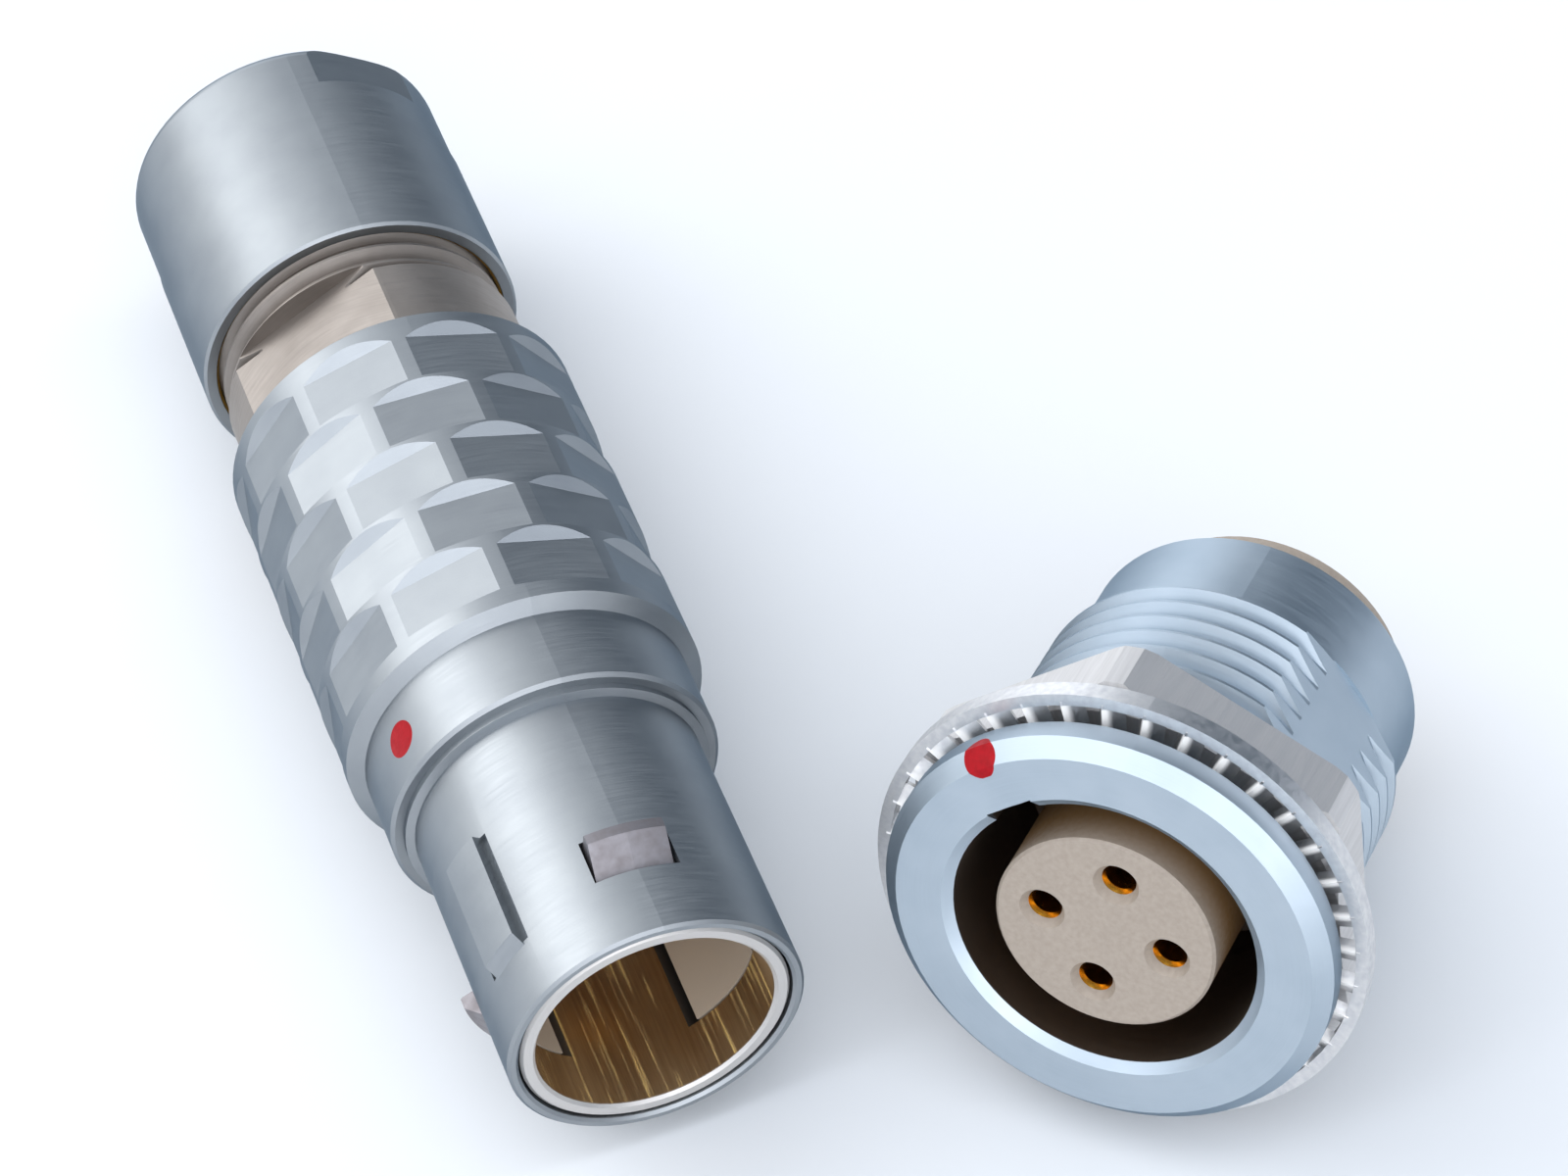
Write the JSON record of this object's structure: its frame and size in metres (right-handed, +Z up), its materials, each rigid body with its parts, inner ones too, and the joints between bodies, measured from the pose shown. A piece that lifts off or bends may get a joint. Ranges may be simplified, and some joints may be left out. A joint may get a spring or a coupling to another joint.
{
  "type": "push-pull circular connector set",
  "caption": "Keyed push-pull cable plug with a faceted sliding release sleeve, lying beside its panel receptacle with lock washer and hex nut.",
  "frame": {"origin": "centre of the plug's mouth, on the plug's axis", "axes": "+Y along the plug's axis from its mouth to its cable end; +Z up; the surface both halves lie on is at z = -7.5 mm"},
  "size_m": [0.0408, 0.061, 0.0198],
  "materials": {
    "shell_chrome": "satin chrome plate on turned brass",
    "latch_nickel": "nickel plate on turned brass, lightly worn",
    "insert_resin": "moulded high-temperature resin, taupe",
    "carrier_brass": "nickel plate on turned brass",
    "crown_bronze": "nickel plate on spring bronze",
    "contact_gold": "gold plate, polished",
    "index_paint": "gloss red index paint",
    "washer_bronze": "bright nickel plate on stamped bronze",
    "nut_brass": "brushed nickel plate on milled brass"
  },
  "bodies": {
    "plug_core": {"latch_sleeve": "latch_nickel", "plug_insulator": "insert_resin", "insert_carrier_upper": "carrier_brass", "insert_carrier_lower": "carrier_brass", "pin_1": "contact_gold", "pin_2": "contact_gold", "pin_3": "contact_gold", "pin_4": "contact_gold"},
    "release_sleeve": {"outer_shell": "shell_chrome", "plug_index_dot": "index_paint"},
    "finger_1": {"latch_finger_1": "latch_nickel"},
    "finger_2": {"latch_finger_2": "latch_nickel"},
    "finger_3": {"latch_finger_3": "latch_nickel"},
    "collet_body": {"collet": "carrier_brass"},
    "nut_body": {"collet_nut": "shell_chrome"},
    "receptacle": {"receptacle_shell": "shell_chrome", "receptacle_index_dot": "index_paint", "earthing_crown": "crown_bronze", "receptacle_insulator": "insert_resin", "rear_insulator": "insert_resin", "retaining_ring": "carrier_brass", "socket_contact_1": "contact_gold", "socket_contact_2": "contact_gold", "socket_contact_3": "contact_gold", "socket_contact_4": "contact_gold"},
    "washer_body": {"lock_washer": "washer_bronze"},
    "hex_nut_body": {"hex_nut": "nut_brass"}
  },
  "joints": [
    {"name": "release_slide", "type": "slide", "parent": "plug_core", "child": "release_sleeve", "axis": [0, 1, 0], "range_m": [0, 0.001], "stiffness_N_per_m": 4000},
    {"name": "latch_finger_1_flex", "type": "hinge", "parent": "plug_core", "child": "finger_1", "pos_m": [0.00066, 0.011, 0.0051], "axis": [0.9917, 0, -0.1288], "range_deg": [0, 6.9], "stiffness_Nm_per_rad": 0.002},
    {"name": "latch_finger_2_flex", "type": "hinge", "parent": "plug_core", "child": "finger_2", "pos_m": [0.00409, 0.011, -0.00312], "axis": [-0.6074, 0, -0.7944], "range_deg": [0, 6.9], "stiffness_Nm_per_rad": 0.002},
    {"name": "latch_finger_3_flex", "type": "hinge", "parent": "plug_core", "child": "finger_3", "pos_m": [-0.00475, 0.011, -0.00198], "axis": [-0.3843, 0, 0.9232], "range_deg": [0, 6.9], "stiffness_Nm_per_rad": 0.002},
    {"name": "collet_travel", "type": "slide", "parent": "plug_core", "child": "collet_body", "axis": [0, -1, 0], "range_m": [-0.00501, 0.00176]},
    {"name": "collet_nut_turn", "type": "hinge", "parent": "collet_body", "child": "nut_body", "pos_m": [0, 0.0385, 0], "axis": [0, -1, 0], "range_deg": [-1800, 630]},
    {"name": "receptacle_lift", "type": "slide", "parent": "plug_core", "child": "receptacle", "axis": [0, 0, 1], "range_m": [0, 0.03]},
    {"name": "washer_travel", "type": "slide", "parent": "receptacle", "child": "washer_body", "axis": [0.6707, 0.7068, -0.2248], "range_m": [0, 0.00701]},
    {"name": "hex_nut_turn", "type": "hinge", "parent": "washer_body", "child": "hex_nut_body", "pos_m": [0.0182, -0.0028, 0.00244], "axis": [0.6707, 0.7068, -0.2248], "range_deg": [0, 2520]}
  ],
  "couplings": [
    {"joint": "latch_finger_1_flex", "follows": "release_slide", "rad_per_m": 120},
    {"joint": "latch_finger_2_flex", "follows": "release_slide", "rad_per_m": 120},
    {"joint": "latch_finger_3_flex", "follows": "release_slide", "rad_per_m": 120},
    {"joint": "collet_travel", "follows": "collet_nut_turn", "m_per_rad": 0.00015915},
    {"joint": "washer_travel", "follows": "hex_nut_turn", "m_per_rad": 0.00015915}
  ]
}
